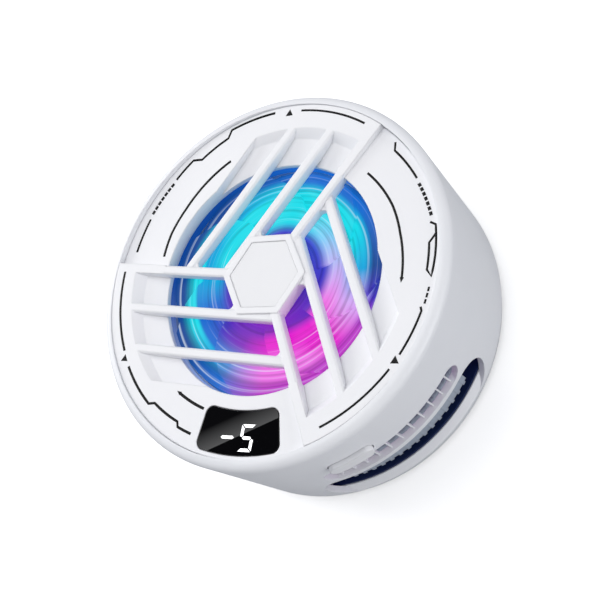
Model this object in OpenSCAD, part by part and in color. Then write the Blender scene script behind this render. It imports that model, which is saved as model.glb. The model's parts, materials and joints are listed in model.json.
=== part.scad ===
// Round magnetic phone cooler: a drum with a pinwheel grille over a lit fan,
// a thermoelectric stack behind the fan and a magnet ring on the phone side.
// Z = 0 is the phone face, +Z points out of the grille, -Y is the display side.

/* [Body] */
// Largest diameter, at the shoulder under the front rim
body_d = 68; // [66:0.5:72]
// Height from the phone face to the top of the front rim
body_h = 30.2; // [29.6:0.2:34]
// Wall thickness of the housing
wall = 1.8; // [1.4:0.1:2.2]
// Draft of the side wall, narrowing towards the phone
draft = 2.2; // [0.5:0.1:3]
// Radius of the rounded front rim
rim_round = 1.6; // [1:0.1:2]
// Width of the ledge inside the rim that carries the front cover
ledge_w = 1.3; // [1:0.1:1.6]
// Height of the parting line between back cover and housing
parting_z = 3; // [2.8:0.1:3.2]

/* [Front cover] */
// Thickness of the cover under the lowest part of its face
cover_t = 2.2; // [1.8:0.1:2.6]
// Height of the step beside each long rib, measured at the edge of the cover
step_h = 1.2; // [0.6:0.1:1.4]
// Width of the bezel, from the edge of the body to the fan opening
bezel_w = 12.7; // [12.2:0.1:13.4]
// Turn of the long ribs from the corners of the hub
rib_turn = -4.5; // [-8:0.5:2]
// Width of a slat across its top
slat_w = 1.7; // [1.2:0.1:2.2]
// Height of a slat
slat_h = 1.9; // [1.5:0.1:2]
// Chamfer along the top edges of a slat
slat_chamfer = 0.3; // [0.1:0.05:0.5]
// Distance between neighbouring slats
slat_pitch = 7.4; // [6.6:0.1:7.8]
// Distance of an air pocket's far edge inside the fan opening
pocket_inset = 0.9; // [0.6:0.1:2]
// Width of the sloping air pocket outside the fan opening
pocket_w = 6.6; // [5:0.1:7]
// Width of the hexagonal hub across its corners
hub_d = 16.4; // [15:0.2:18]
// Width of the rim round the hub panel
hub_rim = 1.4; // [1:0.1:2]
// Height that the hub stands above the face
hub_proud = 0.25; // [0.1:0.05:0.4]
// Depth of the hub panel below the hub's rim
hub_sink = 0.1; // [0.1:0.05:0.3]
// Thickness of the hub panel
hub_panel_t = 0.8; // [0.6:0.1:1]

/* [Display] */
// Width of the display window at its middle
window_w = 15; // [13.6:0.2:16]
// Radial height of the display window
window_h = 7.4; // [7:0.1:7.8]
// Margin between the window and the edge of the cover
window_margin = 0.9; // [0.6:0.1:1.4]
// Angle between the converging sides of the window
window_splay = 24; // [10:1:30]
// Corner radius of the window
window_round = 1.4; // [0.6:0.1:1.8]
// Thickness of the window
window_t = 0.9; // [0.6:0.1:1.2]
// Width of the display package under the window
package_w = 11; // [9:0.2:11.4]
// Radial height of the display package
package_h = 5; // [4.8:0.1:5.4]
// Height of a digit
digit_h = 3.8; // [3:0.1:4]
// Width of a digit
digit_w = 2.3; // [2:0.1:2.6]
// Width of one lit segment
segment_w = 0.5; // [0.4:0.05:0.6]

/* [Vents] */
// Middle of the vent on the button's side; its twin is opposite
vent_angle = -47; // [-49:1:-45]
// Arc of the narrow slot
slot_arc = 51; // [46:1:53]
// Arc of the wide slot
wide_slot_arc = 64; // [58:1:66]
// Distance of the narrow slot's upper edge below the middle of the button
slot_drop = 2.4; // [2.3:0.1:2.8]
// Height of the narrow slot
slot_h = 4.6; // [4.2:0.1:4.8]
// Height of the bar between the two slots
slot_bar = 1.2; // [1:0.1:1.6]
// Height of the lip under the wide slot
slot_lip = 0.4; // [0.3:0.1:0.6]
// Thickness of the wall round the slots
slot_wall = 1.2; // [1:0.1:1.4]
// Rise of the narrow slot's lower face towards the inside
slot_rise = 0.3; // [0.2:0.1:0.6]
// Rise of the wide slot's lower face towards the inside
wide_slot_rise = 1.2; // [1.1:0.1:1.5]
// Number of cells in the narrow slot
slot_cells = 12; // [8:1:14]
// Width of a rib between two cells
slot_rib_w = 0.3; // [0.3:0.1:0.5]

/* [Button and port] */
// Place of the power button round the wall
button_angle = -60; // [-64:1:-56]
// Distance of the middle of the button below the top of the rim
button_drop = 8.9; // [8.4:0.1:9]
// Length of the button round the wall
button_l = 8.2; // [7:0.1:9]
// Height of the button
button_w = 2.6; // [2.2:0.1:2.6]
// Height that the button stands out of the wall
button_proud = 0.9; // [0.7:0.1:1.2]
// Travel of the button
button_travel = 0.4; // [0.3:0.05:0.5]
// Place of the charging port round the wall
port_angle = 225; // [222:1:228]
// Inner width of the port
port_w = 8.34; // [8:0.02:8.4]
// Inner height of the port
port_h = 2.56; // [2.5:0.02:2.6]
// Thickness of the port's sheet metal
port_shell_t = 0.3; // [0.2:0.05:0.35]
// Depth of the port
port_depth = 6.6; // [6.2:0.1:7]

/* [Fan] */
// Number of blades
blade_count = 7; // [6:1:9]
// Arc that one blade covers, seen from the front
blade_arc = 78; // [64:1:80]
// Sweep of a blade from root to tip
blade_sweep = 40; // [20:1:50]
// Thickness of a blade
blade_t = 0.7; // [0.5:0.1:1]
// Outer diameter of the fan hub
fan_hub_d = 16.8; // [16:0.2:18]
// Diameter of the fan shaft
shaft_d = 1.5; // [1.2:0.1:1.8]
// Thickness of the tunnel round the fan
tunnel_t = 1.2; // [0.8:0.1:1.4]
// Thickness of the fan's base and of its struts
frame_t = 1.4; // [1.2:0.1:1.8]
// Width of a strut of the fan frame
strut_w = 2; // [1.6:0.1:2.6]

/* [Cooling stack] */
// Room at the corners of the thermoelectric module
module_gap = 0.2; // [0.1:0.1:1.5]
// Thickness of the thermoelectric module
module_t = 3.6; // [3.4:0.1:4]
// Width of the ledge between the cold plate's face and the magnet ring
plate_gap = 3.4; // [3.2:0.1:3.6]
// Thickness of the cold plate
plate_t = 3; // [2.8:0.1:3.2]
// Width of the space round the heat sink, from the edge of the body
sink_margin = 7.4; // [7.2:0.1:8]
// Thickness of the heat sink's base
sink_base_t = 1.8; // [1.4:0.1:2.2]
// Height of the heat sink's fins
fin_h = 5.2; // [4:0.1:5.4]
// Number of fins
fin_count = 40; // [24:4:48]
// Thickness of a fin
fin_t = 0.7; // [0.5:0.1:0.9]

/* [Phone side] */
// Distance of the magnet ring inside the edge of the body
magnet_margin = 7; // [6.9:0.1:8]
// Width of the magnet ring
magnet_w = 4; // [3.4:0.1:4.2]
// Thickness of a magnet
magnet_t = 2; // [1.6:0.1:2.1]
// Number of magnets
magnet_count = 16; // [12:2:20]
// Distance of the grip pad's edge inside the edge of the body
pad_margin = 3; // [2.7:0.1:3.1]
// Thickness of the grip pad
pad_t = 0.8; // [0.6:0.1:1]
// Height that the grip pad stands out of the back cover
pad_proud = 0.4; // [0.2:0.05:0.5]
// Thickness of the back cover's floor over the grip pad
floor_t = 0.8; // [0.8:0.1:1]

/* [Fits] */
// Gap between parts that are dropped into each other
fit = 0.15; // [0.1:0.01:0.2]
// Gap round a part that turns or slides
run_gap = 0.4; // [0.3:0.05:0.5]
// Gap round the button in the wall
button_gap = 0.2; // [0.15:0.05:0.3]
// Radial gap of the shaft in its bearing
bearing_gap = 0.02; // [0.01:0.01:0.05]
// Radial gap of a screw in its thread
thread_gap = 0.02; // [0.01:0.01:0.05]

/* [Hidden] */
$fn = 96;
eps = 0.01;
bite = 0.3;
far = 60;

// Radii of the housing and of the front cover
shoulder_z = body_h - rim_round;
function wall_r(z) = body_d / 2 - (shoulder_z - z) * tan(draft);
function inner_r(z) = wall_r(z) - wall;
cover_r = body_d / 2 - rim_round - 2 * fit;
seat_gap = 0.06;
seat_r = cover_r + seat_gap;
ledge_r = seat_r - ledge_w;
ledge_t = 1.2;
skirt_t = 0.9;
skirt_h = 1.6;
skirt_r = ledge_r - fit;

// The three tilted planes of the face
sector_count = 3;
sector_arc = 360 / sector_count;
face_tilt = atan(step_h / (2 * cover_r * sin(sector_arc / 2)));
rib_angle = 60 + rib_turn;
opening_r = body_d / 2 - bezel_w;
pocket_reach = opening_r - pocket_inset;
pocket_r = opening_r + pocket_w;
slat_count = 3;
pocket_lip = 0.9;
pocket_slope = 1.8;
web_round = 1;
web_inset = 0.05;
web_drop = 0.3;
hub_r = hub_d / 2;
hub_panel_r = hub_r - hub_rim;

// Rings of the phone side, from the magnets inwards
pad_d = body_d - 2 * pad_margin;
magnet_out_d = body_d - 2 * magnet_margin;
magnet_in_d = magnet_out_d - 2 * magnet_w;
plate_r = magnet_in_d / 2 - plate_gap;
plate_lip = 1.8;
module_w = sqrt(2) * (plate_r + plate_lip - module_gap);
sink_d = body_d - 2 * sink_margin;

// Levels, from the phone face upwards
back_z = pad_proud;
floor_z = pad_t;
tray_z = floor_z + floor_t;
magnet_top = tray_z + magnet_t;
backing_t = 0.4;
backing_top = magnet_top + backing_t;
module_z = plate_t;
sink_z = module_z + module_t;
sink_top = sink_z + sink_base_t;
fin_top = sink_top + fin_h;
frame_z = fin_top + fit;
frame_top = frame_z + frame_t;
motor_board_t = 0.8;
motor_board_top = frame_top + motor_board_t;
cover_z = body_h - step_h - cover_t;
face_z = body_h - step_h / 2;
slat_low = face_z - opening_r * sin(sector_arc / 2) * tan(face_tilt) - slat_h;
rotor_z = motor_board_top + run_gap;
rotor_top = slat_low - run_gap;

// Display window and its package
display_sector = 1;
sector_mid = rib_angle + sector_arc / 2;
display_turn = 270 - sector_mid - display_sector * sector_arc;
window_r = cover_r - window_margin - window_h / 2;
digit_gap = 1.5;
digit_proud = 0.15;
segment_inset = 1.4 * segment_w;

// Button and vent slots in the wall
button_z = body_h - button_drop;
slot_top = button_z - slot_drop;
slot_low = slot_top - slot_h;
wide_slot_top = slot_low - slot_bar;
wide_slot_low = parting_z + slot_lip;
field_under = 0.1;
field_over = 0.2;
field_side_arc = 4;
slot_field_low = wide_slot_low + wide_slot_rise - field_under;
slot_field_top = slot_top + field_over;
slot_field_arc = wide_slot_arc + field_side_arc;

// Lighting round the fan opening
light_t = 1.6;
light_w = 3.4;
led_gap = 1;
led_board_t = 0.8;
tunnel_top = cover_z - light_t - led_gap - led_board_t;
led_count = 12;
led_w = 1.6;
led_t = 0.7;

// Circuit board with its switch and port
board_t = 1;
board_clear = 0.8;
board_z = button_z + button_w / 2 + board_clear;
board_top = board_z + board_t;
board_gap = 0.6;
board_margin = 0.5;
board_in_r = opening_r + light_w + board_gap;
board_out_r = ledge_r - board_margin;
board_port_side = 12;
board_button_side = 8;
board_start = port_angle - board_port_side;
board_end = 360 + button_angle + board_button_side;
board_mid_r = (board_in_r + board_out_r) / 2;
post_d = 3;
post_from_port = 17;
post_from_button = 12;
post_angles = [port_angle + post_from_port, 360 + button_angle - post_from_button];
board_screw_d = 1.4;
board_screw_l = 3;
board_head_d = 2.4;
flange_w = 0.6;
flange_t = 0.6;
flange_half = button_l / 2 + flange_w;
flange_r = sqrt(pow(inner_r(button_z), 2) - pow(flange_half, 2)) - fit;
switch_w = 3.4;
switch_d = 2.2;
switch_drop = 1.2;
plunger_w = 1.4;
plunger_h = 1.2;
plunger_l = 0.9;
plunger_sink = 0.5;
plunger_gap = 0.1;
switch_face_r = flange_r - flange_t - plunger_l;
port_out_w = port_w + 2 * port_shell_t;
port_out_h = port_h + 2 * port_shell_t;
port_z = board_z - port_out_h / 2;
port_recess = 0.9;
port_mouth_r = wall_r(port_z) - port_recess;
tongue_w = 6.7;
tongue_t = 0.7;
tongue_l = 4.6;

// Fan and motor
tunnel_inset = 0.1;
rotor_r = opening_r - run_gap - tunnel_inset;
fan_hub_r = fan_hub_d / 2;
hub_wall = 0.9;
hub_top_t = 0.8;
yoke_t = 0.5;
yoke_r = fan_hub_r - hub_wall;
yoke_top = rotor_top - hub_top_t;
rotor_magnet_t = 1.2;
rotor_magnet_r = yoke_r - yoke_t;
rotor_magnet_in_r = rotor_magnet_r - rotor_magnet_t;
rotor_magnet_rise = 0.4;
rotor_magnet_z = rotor_z + rotor_magnet_rise;
stator_r = rotor_magnet_in_r - run_gap;
stator_rise = 1.2;
stator_z = rotor_z + stator_rise;
stator_h = 3.6;
rotor_magnet_extra = 1.6;
rotor_magnet_h = stator_h + rotor_magnet_extra;
pole_count = 4;
pole_w = 1.5;
pole_shoe_t = 0.8;
pole_arc = 62;
core_t = 0.8;
coil_t = 0.7;
coil_gap = 0.1;
tube_t = 0.8;
bearing_t = 1;
shaft_r = shaft_d / 2;
bearing_in_r = shaft_r + bearing_gap;
bearing_r = bearing_in_r + bearing_t;
tube_r = bearing_r + tube_t;
bearing_rise = 1;
bearing_top = stator_z + stator_h + bearing_rise;
shaft_seat = 0.6;
shaft_end_gap = 0.1;
shaft_z = frame_z + shaft_seat + shaft_end_gap;
boss_t = 1.2;
blade_rings = 6;
blade_steps = 13;
blade_rise = 5.6;
blade_z = rotor_z + blade_rise;
blade_drop = 0.3;
blade_camber = 0.25;
blade_root = 0.3;
tunnel_r = rotor_r + run_gap;
tunnel_out_r = tunnel_r + tunnel_t;
strut_count = 4;

// Screws
ear_d = 4;
ear_bite = 0.6;
ear_r = tunnel_out_r + ear_d / 2 - ear_bite;
ear_count = 4;
ear_turn = 45;
fan_screw_d = 1.6;
fan_screw_l = 4.4;
fan_head_d = 2.4;
head_t = 0.8;
sink_post_d = 3.6;
cover_screw_d = 1.9;
cover_screw_l = 6;
cover_head_d = 3.2;
boss_d = 4;
boss_cap = 1;
screw_end_gap = 1;
boss_r = pad_d / 2 - cover_head_d / 2 - 2 * fit;
boss_angles = [10, 80, 190, 260];
boss_top = parting_z + cover_screw_l;

// Cooling stack and back cover
foam_r = magnet_out_d / 2;
ceramic_t = 0.7;
pellet_rows = 6;
pellet_fill = 0.55;
fin_gap = 1;
fin_in_r = fan_hub_r + fin_gap;
sensor_l = 3.2;
sensor_w = 1.6;
sensor_t = 0.55;
lead_d = 1.1;
lead_angles = [247.5, 252];
lead_z = module_z + module_t / 2;
lead_offset = 0.2;
lead_r = (sink_d / 2 + board_out_r) / 2 + lead_offset;
lead_bend = 1.4;
back_taper = 0.45;
back_round = 0.8;
back_step = 0.15;
tongue_h = 1.5;
back_wall = 1.2;
guide_side_arc = 2;
guide_arc = wide_slot_arc + guide_side_arc;
guide_room = 0.4;
guide_in_r = foam_r + guide_room;
guide_z = max(parting_z + tongue_h, slot_field_low);
guide_t = 0.6;
vent_fin_count = 15;
vent_fin_r = inner_r(parting_z) - fit;
vent_fin_root = 1.6;
vent_fin_rise = 0.6;
vent_band_t = 0.5;
vent_band_in = 0.12;

// A tube between two radii and two levels
module tube(r0, r1, z0, z1) {
    translate([0, 0, z0])
        difference() {
            cylinder(r = r1, h = z1 - z0);
            translate([0, 0, -eps])
                cylinder(r = r0, h = z1 - z0 + 2 * eps);
        }
}

// A solid round bar between two levels
module round_bar(r, z0, z1) {
    translate([0, 0, z0])
        cylinder(r = r, h = z1 - z0);
}

// Quarter of a disc, with its centre at the origin
module quarter_disc(r) {
    intersection() {
        circle(r = r);
        square(r + eps);
    }
}

// Places its children at an angle round the axis, a radius out and a level up
module polar(angle, r, z) {
    rotate([0, 0, angle])
        translate([r, 0, z])
            children();
}

// A lying pill along the radius: l wide round the wall, h high
module radial_pill(l, h, r0, r1) {
    for (side = [-1, 1])
        translate([r0, side * (l - h) / 2, 0])
            rotate([0, 90, 0])
                cylinder(d = h, h = r1 - r0);
    translate([r0, -(l - h) / 2, -h / 2])
        cube([r1 - r0, l - h, h]);
}

// A block turned round the axis between two angles
module ring_segment(r0, r1, z0, z1, start, end) {
    rotate([0, 0, start])
        rotate_extrude(angle = end - start)
            translate([r0, z0])
                square([r1 - r0, z1 - z0]);
}

// Half section of the housing: rounded rim, ledge and drafted wall
module housing_section() {
    ledge_bottom = cover_z - ledge_t;
    polygon([
        [inner_r(parting_z), parting_z], [wall_r(parting_z), parting_z],
        [body_d / 2, shoulder_z], [body_d / 2 - rim_round, shoulder_z],
        [body_d / 2 - rim_round, body_h], [seat_r, body_h], [seat_r, cover_z],
        [ledge_r, cover_z], [ledge_r, ledge_bottom],
        [inner_r(ledge_bottom - ledge_w), ledge_bottom - ledge_w]
    ]);
    translate([body_d / 2 - rim_round, shoulder_z])
        quarter_disc(rim_round);
}

// One vent slot through the wall: round ends, and a lower face that rises inwards
module vent_slot(arc, low, top, rise) {
    half = (top - low) / 2;
    middle = low + half;
    r_in = inner_r(low) - wall;
    r_out = wall_r(top) + wall;
    straight = arc - 2 * asin(half / wall_r(middle));
    slope = rise / slot_wall;
    edge_r = wall_r(low);
    intersection() {
        union() {
            ring_segment(r_in, r_out, low, top, -straight / 2, straight / 2);
            for (side = [-1, 1])
                polar(side * straight / 2, r_in, middle)
                    rotate([0, 90, 0])
                        cylinder(r = half, h = r_out - r_in);
        }
        rotate_extrude()
            polygon([
                [r_in - wall, low + (edge_r - r_in + wall) * slope],
                [r_out + wall, low + (edge_r - r_out - wall) * slope],
                [r_out + wall, far], [r_in - wall, far]
            ]);
    }
}

// Thinner field of the wall round both slots, cut from the inside
module slot_field() {
    rotate([0, 0, -slot_field_arc / 2])
        rotate_extrude(angle = slot_field_arc)
            polygon([
                [inner_r(slot_field_low) - wall, slot_field_low],
                [wall_r(slot_field_low) - slot_wall, slot_field_low],
                [wall_r(slot_field_top) - slot_wall, slot_field_top],
                [inner_r(slot_field_top) - wall, slot_field_top]
            ]);
}

// Ribs that split the narrow slot into cells
module vent_ribs() {
    r_in = wall_r(slot_low) - slot_wall;
    for (i = [1 : slot_cells - 1])
        polar(slot_arc * (i / slot_cells - 0.5), r_in, slot_low - bite)
            translate([0, -slot_rib_w / 2, 0])
                cube([slot_wall / 2, slot_rib_w, slot_h + 2 * bite]);
}

// Screw boss on the inside of the wall
module housing_boss() {
    height = boss_top - parting_z;
    difference() {
        union() {
            translate([boss_r, 0, parting_z])
                cylinder(d = boss_d, h = height);
            translate([boss_r, -boss_d / 2, parting_z])
                cube([inner_r(parting_z) + wall / 2 - boss_r, boss_d, height]);
        }
        translate([boss_r, 0, parting_z - eps])
            cylinder(r = cover_screw_d / 2 + thread_gap, h = height - boss_cap);
    }
}

module main_housing() {
    color("white")
    union() {
        difference() {
            rotate_extrude()
                housing_section();
            for (turn = [0, 180])
                rotate([0, 0, vent_angle + turn]) {
                    vent_slot(slot_arc, slot_low, slot_top, slot_rise);
                    vent_slot(wide_slot_arc, wide_slot_low, wide_slot_top, wide_slot_rise);
                    slot_field();
                }
            polar(button_angle, 0, button_z)
                radial_pill(button_l + 2 * button_gap, button_w + 2 * button_gap,
                    inner_r(button_z) - wall, wall_r(button_z) + wall);
            polar(port_angle, 0, port_z)
                radial_pill(port_out_w + 2 * fit, port_out_h + 2 * fit,
                    inner_r(port_z) - wall, wall_r(port_z) + wall);
        }
        for (turn = [0, 180])
            rotate([0, 0, vent_angle + turn])
                vent_ribs();
        for (angle = boss_angles)
            rotate([0, 0, angle])
                housing_boss();
    }
}

// Outline of one sector of the face, from its long rib to the next one and a
// little under that one; the middle of the sector lies on +X
module sector_outline(overlap = 0) {
    edge = slat_w / 2;
    half = sector_arc / 2;
    across = [cos(half - 90), sin(half - 90)];
    start = edge * [-across.x, across.y];
    stop = (edge - overlap) * across;
    polygon([
        start,
        start + far * [cos(half), -sin(half)],
        [2 * far, 0],
        stop + far * [cos(half), sin(half)],
        stop
    ]);
}

// Puts its children on the tilted plane of the sector whose middle is +X
module on_face() {
    translate([0, 0, face_z])
        rotate([-face_tilt, 0, 0])
            children();
}

// One sector of the cover plate, below its tilted plane
module sector_plate() {
    intersection() {
        translate([0, 0, cover_z])
            cylinder(r = cover_r, h = far);
        translate([0, 0, cover_z])
            linear_extrude(height = far)
                sector_outline(slat_w / 2);
        on_face()
            translate([-far, -far, -far])
                cube([2 * far, 2 * far, far]);
    }
}

// Air pocket of a sector: a floor that slopes into the fan opening
module sector_pocket() {
    rotate([0, 0, -sector_arc / 2])
        intersection() {
            translate([0, slat_w / 2, 0])
                cube([far, pocket_reach - slat_w / 2, far]);
            rotate_extrude()
                polygon([
                    [opening_r - pocket_lip, cover_z + pocket_lip],
                    [opening_r, cover_z + pocket_lip],
                    [pocket_r - pocket_slope, body_h - step_h - pocket_lip / 2],
                    [pocket_r, body_h], [opening_r - pocket_lip, body_h]
                ]);
        }
}

// Section of a slat, with chamfered top edges, from the face downwards
module slat_section() {
    half = slat_w / 2;
    polygon([
        [-half, -slat_h], [half, -slat_h], [half, -slat_chamfer],
        [half - slat_chamfer, 0], [slat_chamfer - half, 0], [-half, -slat_chamfer]
    ]);
}

// The long rib of a sector and the slats beside it
module sector_slats() {
    reach = pocket_r + pocket_lip;
    intersection() {
        on_face()
            rotate([0, 0, -sector_arc / 2])
                for (i = [0 : slat_count - 1])
                    translate([0, i * slat_pitch, 0])
                        rotate([90, 0, 90])
                            translate([0, 0, -opening_r])
                                linear_extrude(height = 2 * reach)
                                    slat_section();
        linear_extrude(height = far)
            sector_outline();
        cylinder(r = reach, h = far);
    }
}

// Outline of all slats and the hub, with the corners between them rounded
module web_outline() {
    offset(delta = -web_inset)
        offset(r = -web_round, $fn = 32)
            offset(delta = web_round) {
                for (i = [0 : sector_count - 1])
                    rotate(sector_mid + i * sector_arc)
                        intersection() {
                            rotate(-sector_arc / 2)
                                for (j = [0 : slat_count - 1])
                                    translate([-opening_r, j * slat_pitch - slat_w / 2])
                                        square([2 * opening_r, slat_w]);
                            sector_outline(slat_w / 2);
                        }
                circle(r = hub_r, $fn = 6);
            }
}

// The rounded corners of one sector, a little lower than its slats
module sector_web(turn) {
    intersection() {
        on_face()
            translate([0, 0, web_drop - slat_h])
                linear_extrude(height = slat_h - 2 * web_drop)
                    rotate(-turn)
                        web_outline();
        linear_extrude(height = far)
            sector_outline(slat_w / 2);
        cylinder(r = opening_r - web_round, h = far);
    }
}

// The slats, and the hexagonal hub that joins them, with a seat for its panel
module grille() {
    hub_z = slat_low + eps;
    top = face_z + hub_proud;
    seat_t = hub_sink + hub_panel_t;
    difference() {
        union() {
            for (i = [0 : sector_count - 1])
                rotate([0, 0, sector_mid + i * sector_arc]) {
                    sector_slats();
                    sector_web(sector_mid + i * sector_arc);
                }
            translate([0, 0, hub_z])
                cylinder(r = hub_r, h = top - hub_z, $fn = 6);
        }
        translate([0, 0, top - seat_t])
            cylinder(r = hub_panel_r + seat_gap, h = seat_t + eps, $fn = 6);
    }
}

// Outline of the window, with its middle at the origin and the rim towards +X
module window_outline(grow = 0) {
    half = window_h / 2 - window_round;
    side = window_w / 2 - window_round;
    lean = half * tan(window_splay / 2);
    bow = window_r + half - sqrt(pow(window_r + half, 2) - pow(side + lean, 2));
    offset(r = window_round + grow)
        intersection() {
            polygon([
                [-half - bow, lean - side], [half, -side - lean],
                [half + bow, -side - lean], [half + bow, side + lean],
                [half, side + lean], [-half - bow, side - lean]
            ]);
            difference() {
                translate([-window_r, 0])
                    circle(r = window_r + half, $fn = 180);
                translate([-window_r, 0])
                    circle(r = window_r - half, $fn = 180);
            }
        }
}

// Puts its children on the face at the middle of the display window
module on_display() {
    rotate([0, 0, sector_mid + display_sector * sector_arc])
        on_face()
            rotate([0, 0, display_turn])
                translate([window_r, 0, 0])
                    children();
}

// Post under the cover that carries the circuit board
module board_post() {
    height = cover_z - board_top;
    translate([board_mid_r, 0, board_top])
        difference() {
            cylinder(d = post_d, h = height + bite);
            translate([0, 0, -eps])
                cylinder(r = board_screw_d / 2 + thread_gap, h = board_screw_l - board_t + fit);
        }
}

module front_cover() {
    color("white")
    union() {
        difference() {
            union() {
                for (i = [0 : sector_count - 1])
                    rotate([0, 0, sector_mid + i * sector_arc])
                        sector_plate();
                tube(skirt_r - skirt_t, skirt_r, cover_z - skirt_h, cover_z + bite);
            }
            translate([0, 0, cover_z - eps])
                cylinder(r = opening_r, h = far);
            for (i = [0 : sector_count - 1])
                rotate([0, 0, sector_mid + i * sector_arc])
                    sector_pocket();
            on_display()
                translate([0, 0, -window_t])
                    linear_extrude(height = 2 * window_t)
                        window_outline(fit);
            polar(270, window_r, cover_z - skirt_h - eps)
                translate([-package_h / 2 - fit, -package_w / 2 - fit, 0])
                    cube([package_h + 2 * fit, package_w + 2 * fit, far]);
        }
        grille();
        for (angle = post_angles)
            rotate([0, 0, angle])
                board_post();
    }
}

module hub_panel() {
    top = face_z + hub_proud - hub_sink;
    color("whitesmoke")
    translate([0, 0, top - hub_panel_t])
        cylinder(r = hub_panel_r, h = hub_panel_t, $fn = 6);
}

module display_window() {
    color("black")
    on_display()
        translate([0, 0, -window_t])
            linear_extrude(height = window_t)
                window_outline();
}

// One lit bar of a digit, standing on the package
module digit_bar(x, y, l, across) {
    size = across ? [segment_w, l] : [l, segment_w];
    translate([x - size.x / 2, y - size.y / 2, 0])
        cube([size.x, size.y, digit_proud]);
}

// A reading of minus five: bars of two digits, with the rim side at +X
module reading() {
    bar = digit_w - segment_inset;
    rise = (digit_h - segment_w) / 2;
    upright = rise - segment_inset;
    shift = (digit_w + digit_gap) / 2;
    for (y = [-shift, shift])
        digit_bar(0, y, bar, true);
    for (x = [-rise, rise])
        digit_bar(x, shift, bar, true);
    digit_bar(-rise / 2, shift - digit_w / 2 + segment_w / 2, upright, false);
    digit_bar(rise / 2, shift + digit_w / 2 - segment_w / 2, upright, false);
}

module display_module() {
    low_face = face_z - cover_r * sin(sector_arc / 2) * tan(face_tilt);
    height = low_face - window_t - fit - digit_proud - board_top;
    color("dimgray")
    polar(270, window_r, board_top) {
        translate([-package_h / 2, -package_w / 2, 0])
            cube([package_h, package_w, height]);
        translate([0, 0, height])
            reading();
    }
}

module power_button() {
    tip_r = wall_r(button_z) + button_proud;
    color("whitesmoke")
    intersection() {
        polar(button_angle, 0, button_z)
            union() {
                radial_pill(button_l, button_w, flange_r - flange_t, tip_r);
                radial_pill(button_l + 2 * flange_w, button_w + 2 * flange_w,
                    flange_r - flange_t, flange_r);
            }
        cylinder(r = tip_r, h = body_h);
    }
}

module switch_body() {
    hole_l = plunger_sink + button_travel + fit;
    color("dimgray")
    polar(button_angle, switch_face_r, button_z)
        difference() {
            translate([-switch_d, -switch_w / 2, -switch_drop])
                cube([switch_d, switch_w, switch_drop + board_z - button_z]);
            translate([-hole_l, -plunger_w / 2 - plunger_gap, -plunger_h / 2 - plunger_gap])
                cube([hole_l + eps, plunger_w + 2 * plunger_gap, plunger_h + 2 * plunger_gap]);
        }
}

module switch_plunger() {
    color("black")
    polar(button_angle, switch_face_r, button_z)
        translate([-plunger_sink, -plunger_w / 2, -plunger_h / 2])
            cube([plunger_sink + plunger_l, plunger_w, plunger_h]);
}

module control_board() {
    color("darkgreen")
    difference() {
        ring_segment(board_in_r, board_out_r, board_z, board_top, board_start, board_end);
        for (angle = post_angles)
            polar(angle, board_mid_r, board_z - eps)
                cylinder(r = board_screw_d / 2 + fit, h = board_t + 2 * eps);
    }
}

module board_screws() {
    color("silver")
    for (angle = post_angles)
        polar(angle, board_mid_r, board_z) {
            cylinder(d = board_screw_d, h = board_screw_l);
            translate([0, 0, -head_t])
                cylinder(d = board_head_d, h = head_t);
        }
}

module usb_shell() {
    back_r = port_mouth_r - port_depth - port_shell_t;
    color("silver")
    polar(port_angle, 0, port_z)
        difference() {
            radial_pill(port_out_w, port_out_h, back_r, port_mouth_r);
            radial_pill(port_w, port_h, back_r + port_shell_t, port_mouth_r + eps);
        }
}

module usb_tongue() {
    color("black")
    polar(port_angle, port_mouth_r - port_depth, port_z)
        translate([0, -tongue_w / 2, -tongue_t / 2])
            cube([tongue_l, tongue_w, tongue_t]);
}

module light_ring() {
    color("azure")
    tube(opening_r, opening_r + light_w, cover_z - light_t, cover_z);
}

module led_board() {
    color("white")
    tube(tunnel_r, opening_r + light_w, tunnel_top, tunnel_top + led_board_t);
}

module leds() {
    color("lightyellow")
    for (i = [0 : led_count - 1])
        polar(i * 360 / led_count, opening_r + light_w / 2, tunnel_top + led_board_t)
            translate([-led_w / 2, -led_w / 2, 0])
                cube([led_w, led_w, led_t]);
}

module fan_frame() {
    color("midnightblue")
    difference() {
        union() {
            translate([0, 0, frame_z])
                cylinder(r = fan_hub_r, h = frame_t);
            for (i = [0 : strut_count - 1])
                polar(ear_turn + i * 360 / strut_count, 0, frame_z)
                    translate([fan_hub_r - strut_w / 2, -strut_w / 2, 0])
                        cube([tunnel_r + tunnel_t / 2 + strut_w / 2 - fan_hub_r, strut_w, frame_t]);
            tube(tunnel_r, tunnel_out_r, frame_z, tunnel_top);
            for (i = [0 : ear_count - 1])
                polar(ear_turn + i * 360 / ear_count, ear_r, frame_z)
                    cylinder(d = ear_d, h = frame_t);
            round_bar(tube_r, frame_z, bearing_top);
        }
        translate([0, 0, frame_z + shaft_seat])
            cylinder(r = bearing_r, h = far);
        for (i = [0 : ear_count - 1])
            polar(ear_turn + i * 360 / ear_count, ear_r, frame_z - eps)
                cylinder(r = fan_screw_d / 2 + fit, h = frame_t + 2 * eps);
    }
}

module fan_screws() {
    color("silver")
    for (i = [0 : ear_count - 1])
        polar(ear_turn + i * 360 / ear_count, ear_r, frame_top) {
            cylinder(d = fan_head_d, h = head_t);
            translate([0, 0, -fan_screw_l])
                cylinder(d = fan_screw_d, h = fan_screw_l);
        }
}

// A point of a blade: u from root to tip, v from leading to trailing edge
function blade_point(u, v, side) =
    let (r = fan_hub_r - blade_root + u * (rotor_r - fan_hub_r + blade_root))
    let (angle = blade_sweep * u * u + blade_arc * (v - 0.5))
    let (high = rotor_top - blade_drop - blade_t / 2)
    let (low = blade_z + blade_t / 2)
    let (drop = v - blade_camber * sin(180 * v))
    [r * cos(angle), r * sin(angle), high + (low - high) * drop + side * blade_t / 2];

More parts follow.
